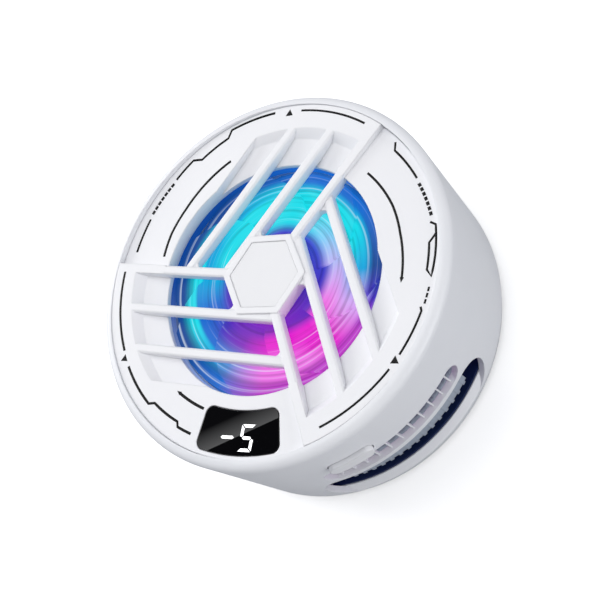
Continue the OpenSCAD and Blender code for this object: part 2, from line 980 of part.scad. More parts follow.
module blade() {
    rows = blade_rings;
    cols = blade_steps;
    layer = rows * cols;
    points = [
        for (side = [-1, 1], i = [0 : rows - 1], j = [0 : cols - 1])
            blade_point(i / (rows - 1), j / (cols - 1), side)
    ];
    function at(side, i, j) = side * layer + i * cols + j;
    faces = [
        for (i = [0 : rows - 2], j = [0 : cols - 2]) each [
            [at(0, i, j), at(0, i + 1, j), at(0, i + 1, j + 1)],
            [at(0, i, j), at(0, i + 1, j + 1), at(0, i, j + 1)],
            [at(1, i, j), at(1, i + 1, j + 1), at(1, i + 1, j)],
            [at(1, i, j), at(1, i, j + 1), at(1, i + 1, j + 1)]
        ],
        for (i = [0 : rows - 2]) each [
            [at(0, i, 0), at(1, i + 1, 0), at(0, i + 1, 0)],
            [at(0, i, 0), at(1, i, 0), at(1, i + 1, 0)],
            [at(0, i, cols - 1), at(0, i + 1, cols - 1), at(1, i + 1, cols - 1)],
            [at(0, i, cols - 1), at(1, i + 1, cols - 1), at(1, i, cols - 1)]
        ],
        for (j = [0 : cols - 2]) each [
            [at(0, 0, j), at(0, 0, j + 1), at(1, 0, j + 1)],
            [at(0, 0, j), at(1, 0, j + 1), at(1, 0, j)],
            [at(0, rows - 1, j), at(1, rows - 1, j + 1), at(0, rows - 1, j + 1)],
            [at(0, rows - 1, j), at(1, rows - 1, j), at(1, rows - 1, j + 1)]
        ]
    ];
    polyhedron(points = points, faces = faces, convexity = 4);
}

module impeller() {
    boss_z = bearing_top + run_gap;
    color("royalblue")
    union() {
        tube(fan_hub_r - hub_wall, fan_hub_r, rotor_z, rotor_top);
        translate([0, 0, yoke_top])
            cylinder(r = fan_hub_r - hub_wall / 2, h = hub_top_t);
        tube(shaft_r, shaft_r + boss_t, boss_z, yoke_top + bite);
        for (i = [0 : blade_count - 1])
            rotate([0, 0, i * 360 / blade_count])
                blade();
    }
}

module rotor_yoke() {
    color("gray")
    difference() {
        round_bar(yoke_r - fit / 3, rotor_z + fit, yoke_top);
        round_bar(yoke_r - yoke_t, rotor_z, yoke_top - yoke_t);
        round_bar(shaft_r + boss_t + fit, rotor_z, rotor_top);
    }
}

module rotor_magnet() {
    color("dimgray")
    tube(rotor_magnet_in_r, rotor_magnet_r - fit / 3, rotor_magnet_z,
        rotor_magnet_z + rotor_magnet_h);
}

module fan_shaft() {
    color("silver")
    round_bar(shaft_r, shaft_z, yoke_top);
}

module shaft_bearing() {
    color("goldenrod")
    tube(bearing_in_r, bearing_r - fit / 3, frame_z + shaft_seat + eps, bearing_top);
}

// Place of each motor pole round the axis
module each_pole() {
    for (i = [0 : pole_count - 1])
        rotate([0, 0, i * 360 / pole_count])
            children();
}

module stator_core() {
    color("gray")
    union() {
        tube(tube_r + fit / 3, tube_r + core_t, stator_z, stator_z + stator_h);
        each_pole() {
            translate([tube_r + core_t / 2, -pole_w / 2, stator_z])
                cube([stator_r - pole_shoe_t / 2 - tube_r - core_t / 2, pole_w, stator_h]);
            ring_segment(stator_r - pole_shoe_t, stator_r, stator_z, stator_z + stator_h,
                -pole_arc / 2, pole_arc / 2);
        }
    }
}

module stator_coils() {
    inner = tube_r + core_t + coil_gap;
    outer = (stator_r - pole_shoe_t) * cos(pole_arc / 2);
    color("peru")
    each_pole()
        difference() {
            translate([inner, -pole_w / 2 - coil_t, stator_z - coil_t])
                cube([outer - inner, pole_w + 2 * coil_t, stator_h + 2 * coil_t]);
            translate([inner - eps, -pole_w / 2 - fit / 3, stator_z - fit / 3])
                cube([outer - inner + 2 * eps, pole_w + 2 * fit / 3, stator_h + 2 * fit / 3]);
        }
}

module motor_board() {
    color("darkgreen")
    tube(tube_r + fit, fan_hub_r - hub_wall, frame_top, motor_board_top);
}

// Longer fins behind one vent, and the band that joins them near their outer ends
module vent_fins() {
    root_r = sink_d / 2 - vent_fin_root;
    band_r = vent_fin_r - vent_band_in;
    low = guide_z + guide_t + vent_fin_rise;
    for (i = [0 : vent_fin_count - 1])
        rotate([0, 0, slot_arc * ((i + 0.5) / vent_fin_count - 0.5)])
            translate([0, -fin_t / 2, 0]) {
                translate([root_r, 0, sink_top - bite])
                    cube([vent_fin_r - root_r, fin_t, fin_h + bite]);
                translate([guide_in_r, 0, low])
                    cube([vent_fin_r - guide_in_r, fin_t, fin_top - low]);
            }
    ring_segment(band_r - vent_band_t, band_r, low + bite, slot_low, -slot_arc / 2, slot_arc / 2);
}

module heat_sink() {
    color("lightslategray")
    difference() {
        union() {
            translate([0, 0, sink_z])
                cylinder(d = sink_d, h = sink_base_t);
            for (i = [0 : fin_count - 1])
                polar((i + 0.5) * 360 / fin_count, fin_in_r, sink_top - bite)
                    translate([0, -fin_t / 2, 0])
                        cube([sink_d / 2 - fin_in_r - fit, fin_t, fin_h + bite]);
            for (turn = [0, 180])
                rotate([0, 0, vent_angle + turn])
                    vent_fins();
            for (i = [0 : ear_count - 1])
                polar(ear_turn + i * 360 / ear_count, ear_r, sink_top - bite)
                    cylinder(d = sink_post_d, h = frame_z - sink_top + bite);
        }
        for (i = [0 : ear_count - 1])
            polar(ear_turn + i * 360 / ear_count, ear_r, frame_top - fan_screw_l - fit)
                cylinder(r = fan_screw_d / 2 + thread_gap, h = far);
    }
}

module peltier_module() {
    cell = module_w / pellet_rows;
    pellet = cell * pellet_fill;
    color("ivory")
    union() {
        for (z = [module_z, sink_z - ceramic_t])
            translate([-module_w / 2, -module_w / 2, z])
                cube([module_w, module_w, ceramic_t]);
        for (i = [0 : pellet_rows - 1], j = [0 : pellet_rows - 1])
            translate([(i + 0.5) * cell - module_w / 2 - pellet / 2,
                (j + 0.5) * cell - module_w / 2 - pellet / 2, module_z + ceramic_t - bite])
                cube([pellet, pellet, module_t - 2 * ceramic_t + 2 * bite]);
    }
}

// Start of a lead at the edge of the thermoelectric module
function lead_start(angle) = module_w / 2 / abs(sin(angle)) + fit;

module peltier_leads() {
    color("firebrick")
    for (angle = lead_angles)
        rotate([0, 0, angle]) {
            translate([lead_start(angle), 0, lead_z])
                rotate([0, 90, 0])
                    cylinder(d = lead_d, h = lead_r - lead_bend - lead_start(angle));
            translate([lead_r - lead_bend, 0, lead_z + lead_bend])
                rotate([90, 0, 0])
                    rotate([0, 0, -90])
                        rotate_extrude(angle = 90)
                            translate([lead_bend, 0])
                                circle(d = lead_d);
            translate([lead_r, 0, lead_z + lead_bend])
                cylinder(d = lead_d, h = board_z - lead_z - lead_bend);
        }
}

module insulation_ring() {
    hole = module_w + 4 * fit;
    color("dimgray")
    difference() {
        round_bar(foam_r, backing_top, sink_z);
        translate([-hole / 2, -hole / 2, 0])
            cube([hole, hole, far]);
        for (angle = lead_angles)
            polar(angle, 0, lead_z)
                rotate([0, 90, 0])
                    cylinder(d = lead_d + 2 * fit, h = far);
    }
}

module cold_plate() {
    color("silver")
    union() {
        cylinder(r = plate_r, h = plate_t);
        translate([0, 0, tray_z])
            cylinder(r = plate_r + plate_lip, h = plate_t - tray_z);
    }
}

module temperature_sensor() {
    color("black")
    translate([-sensor_l / 2, (module_w / 2 + plate_r) / 2 - sensor_w / 2 + fit, plate_t])
        cube([sensor_l, sensor_w, sensor_t]);
}

// Half section of the back cover: rounded back edge, floor and inner tongue
module back_section() {
    top_r = wall_r(parting_z) - back_step;
    low_r = top_r - back_taper;
    round_z = back_z + back_round;
    tongue_r = inner_r(parting_z) - fit;
    polygon([
        [plate_r + fit, floor_z], [pad_d / 2 + fit, floor_z], [pad_d / 2 + fit, back_z],
        [low_r - back_round, back_z], [low_r - back_round, round_z], [low_r, round_z],
        [top_r, parting_z], [tongue_r, parting_z], [tongue_r, parting_z + tongue_h],
        [tongue_r - back_wall, parting_z + tongue_h], [tongue_r - back_wall, tray_z],
        [magnet_out_d / 2 + fit, tray_z], [magnet_in_d / 2 - fit, tray_z],
        [plate_r + fit, tray_z]
    ]);
    translate([low_r - back_round, round_z])
        mirror([0, 1])
            quarter_disc(back_round);
}

module back_cover() {
    lug_top = parting_z - eps;
    color("white")
    difference() {
        union() {
            rotate_extrude()
                back_section();
            tube(plate_r + plate_lip + fit, magnet_in_d / 2 - fit, tray_z - bite, magnet_top);
            for (angle = boss_angles)
                rotate([0, 0, angle]) {
                    polar(0, boss_r, floor_z)
                        cylinder(d = boss_d, h = lug_top - floor_z);
                    translate([boss_r, -boss_d / 2, floor_z])
                        cube([inner_r(parting_z) - boss_r - back_wall / 2, boss_d, lug_top - floor_z]);
                }
        }
        for (angle = boss_angles)
            polar(angle, boss_r, 0) {
                cylinder(r = cover_screw_d / 2 + fit, h = far);
                cylinder(r = cover_head_d / 2 + fit, h = floor_z + head_t + fit);
            }
        for (angle = boss_angles)
            polar(angle, boss_r, parting_z)
                cylinder(d = boss_d + 2 * fit, h = far);
        for (angle = boss_angles)
            rotate([0, 0, angle])
                translate([boss_r, -boss_d / 2 - fit, parting_z])
                    cube([wall + boss_d, boss_d + 2 * fit, far]);
    }
}

// Curved plates under the long fins that turn the air into the vents
module air_guides() {
    color("midnightblue")
    for (turn = [0, 180])
        rotate([0, 0, vent_angle + turn])
            ring_segment(guide_in_r, wall_r(guide_z) - slot_wall - fit, guide_z, guide_z + guide_t,
                -guide_arc / 2, guide_arc / 2);
}

module cover_screws() {
    color("silver")
    for (angle = boss_angles)
        polar(angle, boss_r, floor_z + fit) {
            cylinder(d = cover_head_d, h = head_t);
            cylinder(d = cover_screw_d, h = boss_top - boss_cap - screw_end_gap - floor_z);
        }
}

module magnet_ring() {
    gap_arc = 2;
    step = 360 / magnet_count;
    color("gray")
    for (i = [0 : magnet_count - 1])
        ring_segment(magnet_in_d / 2, magnet_out_d / 2, tray_z, magnet_top,
            i * step + gap_arc / 2, (i + 1) * step - gap_arc / 2);
}

module magnet_backing() {
    color("silver")
    tube(magnet_in_d / 2, magnet_out_d / 2, magnet_top, backing_top);
}

module grip_pad() {
    color("dimgray")
    tube(plate_r + fit, pad_d / 2, 0, pad_t);
}

main_housing();
front_cover();
hub_panel();
display_window();
display_module();
power_button();
switch_body();
switch_plunger();
control_board();
board_screws();
usb_shell();
usb_tongue();
light_ring();
led_board();
leds();
fan_frame();
fan_screws();
impeller();
rotor_yoke();
rotor_magnet();
fan_shaft();
shaft_bearing();
stator_core();
stator_coils();
motor_board();
heat_sink();
peltier_module();
peltier_leads();
insulation_ring();
cold_plate();
temperature_sensor();
back_cover();
air_guides();
cover_screws();
magnet_ring();
magnet_backing();
grip_pad();
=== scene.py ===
import json
import math

import bmesh
import bpy
from mathutils import Matrix, Vector


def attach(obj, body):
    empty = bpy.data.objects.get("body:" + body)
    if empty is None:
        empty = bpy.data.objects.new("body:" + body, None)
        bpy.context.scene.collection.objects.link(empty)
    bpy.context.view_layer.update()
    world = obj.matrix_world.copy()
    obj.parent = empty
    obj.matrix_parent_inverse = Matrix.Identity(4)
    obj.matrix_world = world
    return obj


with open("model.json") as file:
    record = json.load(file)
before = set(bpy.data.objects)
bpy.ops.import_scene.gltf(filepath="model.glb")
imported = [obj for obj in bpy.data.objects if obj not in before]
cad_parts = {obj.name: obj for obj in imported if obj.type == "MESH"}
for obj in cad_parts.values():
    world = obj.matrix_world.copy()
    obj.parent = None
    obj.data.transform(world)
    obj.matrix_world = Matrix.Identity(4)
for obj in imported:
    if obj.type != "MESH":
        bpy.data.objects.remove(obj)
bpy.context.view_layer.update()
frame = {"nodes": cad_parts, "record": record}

MM = 0.001

# Sizes of the face, in millimetres and degrees, as the solids have them
BODY_H = 30.2
STEP_H = 1.2
COVER_R = 32.1
SECTOR_ARC = 120
FIRST_MIDDLE = 115.5
SECTOR_MIDDLES = [FIRST_MIDDLE + SECTOR_ARC * i for i in range(3)]
FACE_Z = BODY_H - STEP_H / 2
FACE_SLOPE = STEP_H / (2 * COVER_R * math.sin(math.radians(SECTOR_ARC / 2)))
PRINT_R = 30.6
WINDOW_R = 27.5
WINDOW_ANGLE = 270
FAN_R = 20.8


def linear(colour):
    """Turns an sRGB hex colour to linear RGBA."""
    parts = [int(colour[i : i + 2], 16) / 255 for i in (1, 3, 5)]
    return [c / 12.92 if c <= 0.04045 else ((c + 0.055) / 1.055) ** 2.4 for c in parts] + [1.0]


def add(tree, kind, wires=None, **settings):
    """Adds a node; wires maps an input to a value or to the output that feeds it."""
    made = tree.nodes.new(kind)
    for name, value in settings.items():
        setattr(made, name, value)
    for socket, value in (wires or {}).items():
        if isinstance(value, bpy.types.NodeSocket):
            tree.links.new(value, made.inputs[socket])
        else:
            made.inputs[socket].default_value = value
    return made


def show(name, data):
    """Puts a new object with that data in the scene."""
    made = bpy.data.objects.new(name, data)
    bpy.context.scene.collection.objects.link(made)
    return made


def placed(place, right, up, back):
    """The matrix of an object that stands there and has those directions as its own axes."""
    return Matrix.Translation(place) @ Matrix((right, up, back)).transposed().to_4x4()


def sector_middle(angle):
    """The middle of the sector of the face that holds that angle."""
    return min(SECTOR_MIDDLES, key=lambda middle: abs((angle - middle + 180) % 360 - 180))


def face_point(angle, radius, lift=0.0):
    """The point of the tilted face at that angle and radius, in metres."""
    across = radius * math.sin(math.radians(angle - sector_middle(angle)))
    turn = math.radians(angle)
    z = FACE_Z - across * FACE_SLOPE + lift
    return Vector((radius * math.cos(turn), radius * math.sin(turn), z)) * MM


def face_normal(angle):
    """The direction that the tilted face looks in at that angle."""
    downhill = math.radians(sector_middle(angle) + 90)
    return Vector((FACE_SLOPE * math.cos(downhill), FACE_SLOPE * math.sin(downhill), 1)).normalized()


# Camera, at the photograph's viewing angle: its place in metres and the directions of its own axes
CAMERA_PLACE = Vector((0.0952887, -0.0566726, 0.17016))
CAMERA_RIGHT = (0.86346, 0.14471, -0.48322)
CAMERA_UP = (0.02706, 0.94330, 0.33085)
CAMERA_BACK = (0.50370, -0.29875, 0.81058)
CAMERA_LENS = 63.0
CAMERA_SENSOR = 36.0
CAMERA_NEAR = 0.005

lens = bpy.data.cameras.new("photo_camera")
lens.lens = CAMERA_LENS
lens.sensor_width = CAMERA_SENSOR
lens.clip_start = CAMERA_NEAR
camera = show("photo_camera", lens)
camera.matrix_world = placed(CAMERA_PLACE, CAMERA_RIGHT, CAMERA_UP, CAMERA_BACK)
bpy.context.scene.camera = camera
bpy.context.scene.view_settings.view_transform = "Standard"


# Studio: white floor and sky, a large softbox above, and a fill at the right and at the left
LAMP_AIM = Vector((0, 0, 0.02))
LAMP_DISTANCE = 0.70


def softbox(name, direction, width, power):
    """A square area lamp in that direction from the drum, looking at it; width in metres, power in watts."""
    lamp = bpy.data.lights.new(name, "AREA")
    lamp.shape = "SQUARE"
    lamp.size = width
    lamp.energy = power
    out = Vector(direction).normalized()
    turned = out.to_track_quat("Z", "Y").to_matrix().to_4x4()
    show(name, lamp).matrix_world = Matrix.Translation(LAMP_AIM + out * LAMP_DISTANCE) @ turned


softbox("key_softbox", (-0.18, 0.14, 0.96), width=0.60, power=2.25)
softbox("right_fill", (0.96, -0.22, 0.14), width=0.40, power=2.2)
softbox("left_fill", (-0.90, 0.25, 0.35), width=0.40, power=2.2)

# Sky: white to the camera and in reflections, and a plain cool light on everything else
SKY_LIGHT = 0.45
world = bpy.data.worlds.new("studio_white")
world.use_nodes = True
sky = world.node_tree
sky.nodes.clear()
ray = add(sky, "ShaderNodeLightPath").outputs
mirrored = add(
    sky, "ShaderNodeMath", {0: ray["Is Glossy Ray"], 1: ray["Is Transmission Ray"]}, operation="MAXIMUM"
).outputs[0]
shown = add(sky, "ShaderNodeMath", {0: ray["Is Camera Ray"], 1: mirrored}, operation="MAXIMUM").outputs[0]
light = add(sky, "ShaderNodeBackground", {"Color": linear("#F5F6F9"), "Strength": SKY_LIGHT}).outputs[0]
white = add(sky, "ShaderNodeBackground", {"Color": linear("#FFFFFF"), "Strength": 1.0}).outputs[0]
both = add(sky, "ShaderNodeMixShader", {0: shown, 1: light, 2: white}).outputs[0]
add(sky, "ShaderNodeOutputWorld", {"Surface": both})
bpy.context.scene.world = world


def card(name, half, level):
    """A square sheet of the studio, of that half width, at that level."""
    mesh = bpy.data.meshes.new(name)
    corners = [(x * half, y * half, level) for x, y in ((-1, -1), (1, -1), (1, 1), (-1, 1))]
    mesh.from_pydata(corners, [], [(0, 1, 2, 3)])
    return show(name, mesh)


def bare_material(name):
    """A new material whose node tree is empty."""
    made = bpy.data.materials.new(name)
    made.use_nodes = True
    made.node_tree.nodes.clear()
    return made


FLOOR_HALF = 3.0
FLOOR_LEVEL = -0.0001
# The floor's own glow beside the drum, and the distances between which it rises to pure white, in metres
SWEEP_GLOW = 0.36
SWEEP_NEAR = 0.06
SWEEP_FAR = 0.8
floor = card("studio_floor", FLOOR_HALF, FLOOR_LEVEL)
# Painted sweep: matt white that keeps the drum's soft shadow and turns pure white further off
sweep = bare_material("painted_sweep")
paint = sweep.node_tree
ray = add(paint, "ShaderNodeLightPath").outputs
matt = add(paint, "ShaderNodeBsdfDiffuse", {"Color": linear("#FFFFFF")}).outputs[0]
ground = add(paint, "ShaderNodeTexCoord").outputs["Object"]
yonder = add(paint, "ShaderNodeVectorMath", {0: ground}, operation="LENGTH").outputs["Value"]
risen = add(
    paint,
    "ShaderNodeMapRange",
    {"Value": yonder, "From Min": SWEEP_NEAR, "From Max": SWEEP_FAR, "To Min": SWEEP_GLOW},
).outputs[0]
glow = add(paint, "ShaderNodeEmission", {"Color": linear("#FFFFFF"), "Strength": risen}).outputs[0]
lifted = add(paint, "ShaderNodeAddShader", {0: matt, 1: glow}).outputs[0]
grey = add(paint, "ShaderNodeBsdfDiffuse", {"Color": linear("#B8BABE")}).outputs[0]
split = add(paint, "ShaderNodeMixShader", {0: ray["Is Camera Ray"], 1: grey, 2: lifted}).outputs[0]
add(paint, "ShaderNodeOutputMaterial", {"Surface": split})
floor.data.materials.append(sweep)

# Black flag on the photograph's line of sight as the gloss window mirrors it, lit along one slanting edge;
# only reflections show it. Sizes are in metres, and the edge is given by its normal and its offset
FLAG_HALF = 0.045
FLAG_DISTANCE = 0.3
FLAG_EDGE = (0.692, -0.722, 0.0)
FLAG_EDGE_AT = -0.0011
FLAG_FADE = 0.009
TAPE_BRIGHT = 3.8
TAPE_DIM = 0.03
window_spot = face_point(WINDOW_ANGLE, WINDOW_R)
mirror_line = (window_spot - CAMERA_PLACE).normalized().reflect(face_normal(WINDOW_ANGLE))
flag_right = Vector((mirror_line.y, -mirror_line.x, 0.0)).normalized()
flag = card("black_flag", FLAG_HALF, 0.0)
flag.matrix_world = placed(
    window_spot + mirror_line * FLAG_DISTANCE, flag_right, -mirror_line.cross(flag_right), -mirror_line
)
for ray_kind in ("camera", "diffuse", "transmission", "volume_scatter", "shadow"):
    setattr(flag, "visible_" + ray_kind, False)
# Black velvet with a white tape that fades away from its edge
velvet = bare_material("velvet_and_tape")
cloth = velvet.node_tree
spot = add(cloth, "ShaderNodeTexCoord").outputs["Object"]
away = add(cloth, "ShaderNodeVectorMath", {0: spot, 1: FLAG_EDGE}, operation="DOT_PRODUCT").outputs["Value"]
taped = add(cloth, "ShaderNodeMath", {0: away, 1: FLAG_EDGE_AT}, operation="GREATER_THAN").outputs[0]
faded = add(
    cloth,
    "ShaderNodeMapRange",
    {
        "Value": away,
        "From Min": FLAG_EDGE_AT,
        "From Max": FLAG_EDGE_AT + FLAG_FADE,
        "To Min": TAPE_BRIGHT,
        "To Max": TAPE_DIM,
    },
).outputs[0]
shine = add(cloth, "ShaderNodeMath", {0: taped, 1: faded}, operation="MULTIPLY").outputs[0]
lit = add(cloth, "ShaderNodeEmission", {"Color": linear("#F4F5F7"), "Strength": shine}).outputs[0]
add(cloth, "ShaderNodeOutputMaterial", {"Surface": lit})
flag.data.materials.append(velvet)


# Finishes
PATCH_DETAIL = 3.0
GRAIN_DETAIL = 2.0
CORNER_SAMPLES = 6


def finish(name, low, high, patch, rough, grain, depth, edge=0.0, stretch=(1, 1, 1), sockets=None):
    """A material whose tone runs from low to high in patches of that size, with a roughness range and a
    grain of that size and depth; edge is the radius that its corners seem rounded to. Sizes in mm."""
    made = bpy.data.materials.new(name)
    made.use_nodes = True
    tree = made.node_tree
    shader = tree.nodes["Principled BSDF"]
    place = add(tree, "ShaderNodeTexCoord").outputs["Object"]
    laid = add(tree, "ShaderNodeMapping", {"Vector": place, "Scale": stretch}).outputs[0]
    patches = add(
        tree, "ShaderNodeTexNoise", {"Vector": laid, "Scale": 1 / (patch * MM), "Detail": PATCH_DETAIL}
    ).outputs["Fac"]
    tone = add(tree, "ShaderNodeMix", {0: patches, 6: linear(low), 7: linear(high)}, data_type="RGBA")
    texture = add(
        tree, "ShaderNodeTexNoise", {"Vector": laid, "Scale": 1 / (grain * MM), "Detail": GRAIN_DETAIL}
    ).outputs["Fac"]
    polish = add(tree, "ShaderNodeMapRange", {"Value": texture, "To Min": rough[0], "To Max": rough[1]})
    relief = add(tree, "ShaderNodeBump", {"Height": texture, "Distance": depth * MM})
    if edge:
        corner = add(tree, "ShaderNodeBevel", {"Radius": edge * MM}, samples=CORNER_SAMPLES)
        tree.links.new(corner.outputs[0], relief.inputs["Normal"])
    tree.links.new(tone.outputs[2], shader.inputs["Base Color"])
    tree.links.new(polish.outputs[0], shader.inputs["Roughness"])
    tree.links.new(relief.outputs[0], shader.inputs["Normal"])
    for socket, value in (sockets or {}).items():
        shader.inputs[socket].default_value = value
    return made


ABS = {"IOR": 1.53}
NYLON = {"IOR": 1.53}
LAMINATE = {"IOR": 1.52}
SILICONE = {"IOR": 1.41}
ALUMINA = {"IOR": 1.76}
MATT_PBT = {"Specular IOR Level": 0.2}
METAL = {"Metallic": 1.0}

FINISHES = {
    # Moulded ABS: cool white, satin, with the faint tooth of a spark eroded mould, drawn coarser to show
    "white_shell": finish(
        "moulded_abs_shell", "#E3E5EA", "#EBECF0", 14, (0.36, 0.46), 0.35, 0.006, 0.15, sockets=ABS
    ),
    # The face has a shallower tooth than the wall and is a little more matt
    "white_cover": finish(
        "moulded_abs_cover", "#E9EAEE", "#F0F0F3", 16, (0.42, 0.50), 0.35, 0.003, 0.35, sockets=ABS
    ),
    # The back band is the same plastic, made a shade greyer as painted shade where it turns away from the
    # light
    "back_shell": finish(
        "abs_back_painted_shade", "#D9DCE1", "#E2E4E8", 14, (0.38, 0.48), 0.35, 0.006, 0.3, sockets=ABS
    ),
    # Panel and button come from smoother moulds, so they shine a little more
    "hub_panel": finish(
        "satin_abs_panel", "#E6E7EA", "#EDEDF0", 10, (0.26, 0.34), 0.3, 0.002, 0.15, sockets=ABS
    ),
    "button": finish("satin_abs_button", "#E9EAEE", "#F0F0F3", 8, (0.28, 0.36), 0.3, 0.003, 0.4, sockets=ABS),
    # Cast epoxy body of the segment display: black and dull
    "display": finish("display_epoxy", "#1B1B1D", "#232326", 3, (0.5, 0.6), 0.2, 0.004),
    # Glass filled nylon of small electric parts: black, with the fibres as small paler flecks
    "black_plastic": finish(
        "glass_filled_nylon", "#141416", "#212124", 0.8, (0.45, 0.6), 0.15, 0.006, sockets=NYLON
    ),
    # Solder mask over woven glass laminate: glossy green, slightly uneven
    "circuit_board": finish(
        "green_solder_mask", "#0B3D22", "#14572F", 2.5, (0.22, 0.34), 0.5, 0.006, sockets=LAMINATE
    ),
    # The white mask of a lamp board, which throws its light back
    "led_board": finish(
        "white_solder_mask", "#D9DADB", "#E6E6E6", 2.5, (0.3, 0.4), 0.5, 0.004, sockets=LAMINATE
    ),
    # Phosphor filled silicone of an LED: pale yellow
    "led": finish("led_phosphor", "#E8E0A8", "#F5F0CC", 0.5, (0.2, 0.3), 0.1, 0.003, sockets=SILICONE),
    # Anodised aluminium: pale blue grey under its dull oxide skin, with fine lines drawn up the fins
    "heat_sink": finish(
        "anodised_aluminium_fins",
        "#A2ACBA",
        "#B2BBC8",
        5,
        (0.36, 0.48),
        0.25,
        0.004,
        0.12,
        stretch=(1, 1, 0.15),
        sockets={"Metallic": 0.2},
    ),
    # Moulded PBT of the air guides, navy and matt: its dark navy is painted shade that makes the wide vent
    # look deep
    "air_guide": finish("pbt_guide_painted_vent_shade", "#04163C", "#061C48", 6, (0.5, 0.62), 0.3, 0.005, sockets=MATT_PBT),
    # Plated steel of screws, port and backing: bright, with a slight grain
    "steel": finish(
        "nickel_plated_steel", "#AEB0B4", "#C6C7CA", 2, (0.2, 0.32), 0.3, 0.003, 0.1, sockets=METAL
    ),
    # Phosphate blackened steel of yoke, core and switch: dark grey and half matt
    "dark_metal": finish(
        "blackened_steel", "#5A5B60", "#6D6E73", 2, (0.3, 0.45), 0.3, 0.004, 0.1, sockets=METAL
    ),
    # Pressed and sintered ferrite: dull, dark and fine grained
    "ferrite": finish("sintered_ferrite", "#2B2B2E", "#39393C", 1.2, (0.55, 0.7), 0.2, 0.01),
    # Oil filled sintered bronze, with open pores
    "bronze": finish("sintered_bronze", "#9A6A35", "#B8864C", 0.8, (0.35, 0.5), 0.15, 0.012, sockets=METAL),
    # Enamelled copper wire: the stretched grain is the turns of the winding
    "copper_wire": finish(
        "enamelled_copper",
        "#9C4A22",
        "#C8713C",
        1.5,
        (0.18, 0.3),
        0.4,
        0.02,
        stretch=(1, 1, 0.05),
        sockets={"Metallic": 0.9},
    ),
    # Sintered alumina plates of the thermoelectric module: warm white and dry
    "ceramic": finish("alumina_ceramic", "#E4E0D6", "#EFECE4", 3, (0.5, 0.62), 0.2, 0.004, sockets=ALUMINA),
    # Silicone sleeve of the leads: red and half matt
    "lead_sleeve": finish(
        "silicone_sleeve", "#A3161A", "#B8252A", 2, (0.4, 0.52), 0.2, 0.006, sockets=SILICONE
    ),
    # Closed cell foam with a pebbled skin
    "foam": finish("closed_cell_foam", "#232325", "#303032", 1.5, (0.75, 0.9), 0.5, 0.05, 0.3),
    # Nickel on neodymium: bright and slightly uneven
    "magnet": finish(
        "nickel_plated_magnet", "#B9B9B7", "#CFCFCC", 3, (0.12, 0.22), 0.6, 0.003, 0.2, sockets=METAL
    ),
    # Silicone rubber: dark grey, dry, with a fine frosted skin
    "grip_pad": finish(
        "silicone_rubber_pad", "#3A3B3E", "#454649", 6, (0.6, 0.72), 0.3, 0.008, 0.25, sockets=SILICONE
    ),
    # Cast acrylic of the display window: black, polished, with a trace of fingerprints in its gloss
    "window": finish(
        "smoked_acrylic",
        "#08080A",
        "#0B0B0D",
        6,
        (0.0, 0.012),
        2.0,
        0.0,
        0.08,
        sockets={"IOR": 1.49, "Specular IOR Level": 0.3},
    ),
}

# Turned aluminium of the cold plate: the rings of the lathe, drawn coarse to show; sizes in mm
RING_PITCH = 2.513
RING_DEPTH = 0.004
# The spacing of the wave texture's rings at a scale of one
WAVE_SPACING = math.tau / 20
plate = finish("turned_aluminium", "#B9BBBF", "#CDCED1", 8, (0.22, 0.32), 0.3, 0.002, 0.3, sockets=METAL)
FINISHES["cold_plate"] = plate
turned = plate.node_tree
spun = add(turned, "ShaderNodeTexCoord").outputs["Object"]
rings = add(
    turned,
    "ShaderNodeTexWave",
    {
        "Vector": spun,
        "Scale": WAVE_SPACING / (RING_PITCH * MM),
        "Distortion": 0.4,
        "Detail": 1.0,
        "Detail Scale": 0.3,
    },
    wave_type="RINGS",
    rings_direction="Z",
).outputs["Fac"]
cut = add(turned, "ShaderNodeBump", {"Height": rings, "Distance": RING_DEPTH * MM, "Strength": 0.6})
turned.links.new(turned.nodes["Bump"].outputs[0], cut.inputs["Normal"])
turned.links.new(cut.outputs[0], turned.nodes["Principled BSDF"].inputs["Normal"])


# Light of the fan: coloured lamps round the opening, smeared round by the turning blades
GLOW = {
    "teal": "#1CDCE8",
    "azure": "#14A4DC",
    "sky": "#80D0F6",
    "blue": "#1A6CCE",
    "navy": "#0B4692",
    "indigo": "#4630BC",
    "violet": "#8428BA",
    "magenta": "#E81ECE",
    "pink": "#F078E6",
    "lilac": "#D4A6F2",
    "haze": "#5E90D6",
    "cobalt": "#3A4CCC",
    "orchid": "#BE3AC6",
}
# Each ring of light: the radii where it begins and is full, as shares of the fan's, and its colours by angle
GLOW_RINGS = (
    (0.0, 0.1, "indigo -180, violet -80, indigo -10, cobalt 40, indigo 120, indigo 180"),
    (
        0.43,
        0.55,
        "azure -180, blue -162, indigo -134, violet -110, magenta -84, magenta -45, pink -20, lilac 0,"
        " sky 42, teal 76, teal 160, azure 180",
    ),
    (
        0.58,
        0.74,
        "azure -180, blue -158, blue -132, haze -112, pink -88, pink -70, magenta -52, magenta -38,"
        " lilac -16, azure 5, teal 26, teal 125, azure 150, azure 180",
    ),
    (
        0.745,
        0.785,
        "teal -180, teal -152, azure -130, haze -112, pink -88, pink -56, magenta -38, lilac -16,"
        " azure 5, teal 35, teal 80, azure 130, teal 160, teal 180",
    ),
    (
        0.82,
        0.93,
        "navy -180, navy -140, blue -114, orchid -86, orchid -28, indigo -10, navy 6, blue 40, blue 80,"
        " navy 130, navy 180",
    ),
)
# Streaks: bright arcs about 0.3 mm wide that run a third of a turn, from a noise that is stretched round the
# axis; a turn is a circle of that radius in the noise, with that many of its cells from axis to rim
STREAK_ROUND = 0.4
STREAK_CELLS = 38.0
STREAK_COLOUR = "#E8F6FF"
# Their share of the colour, the radii between which it rises, and the noise between which a streak shows
STREAK_SHARE = 0.46
STREAK_BEGINS = 0.46
STREAK_FULL = 0.62
STREAK_NOISE = (0.60, 0.78)
# Between the streaks the light falls to this share where the noise is low
DIM_SHARE = 0.72
DIM_NOISE = (0.28, 0.52)


